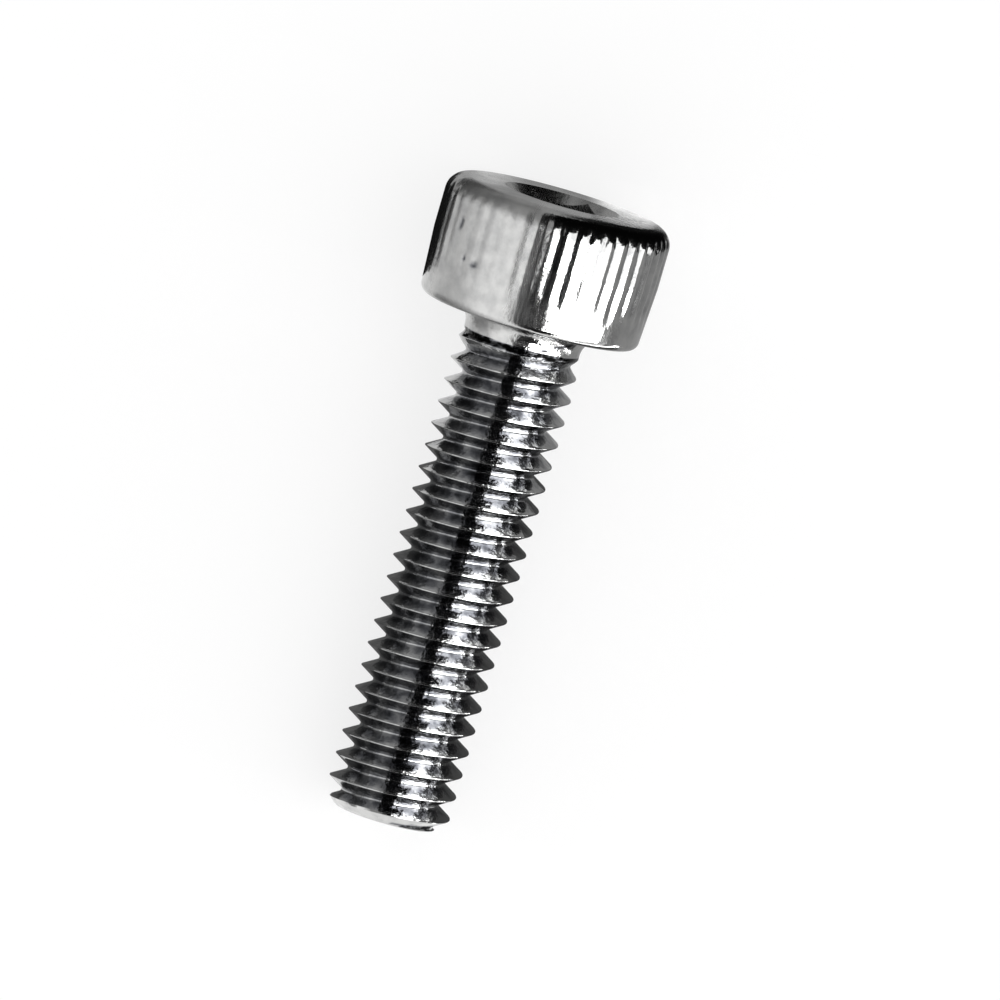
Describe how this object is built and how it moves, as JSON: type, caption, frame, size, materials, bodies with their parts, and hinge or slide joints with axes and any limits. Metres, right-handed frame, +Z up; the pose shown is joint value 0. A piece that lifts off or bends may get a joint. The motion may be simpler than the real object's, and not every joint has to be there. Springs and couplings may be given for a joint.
{
  "type": "hex socket head cap screw",
  "caption": "Cap screw with a cylindrical head, knurled along its side, a hexagon socket in the top and a shank threaded almost up to the head, with a bevelled tip.",
  "frame": {"origin": "on the surface that the screw lies on, under the middle of its length", "axes": "+Z up, +X along the surface towards the head, so the screw's axis lies in the XZ plane and rises 5.50 degrees towards the head"},
  "size_m": [0.02, 0.007, 0.0072],
  "materials": {
    "steel": "bare bright stainless steel, cold-headed and rolled"
  },
  "bodies": {
    "root": {"cap_screw": "steel"}
  },
  "joints": []
}
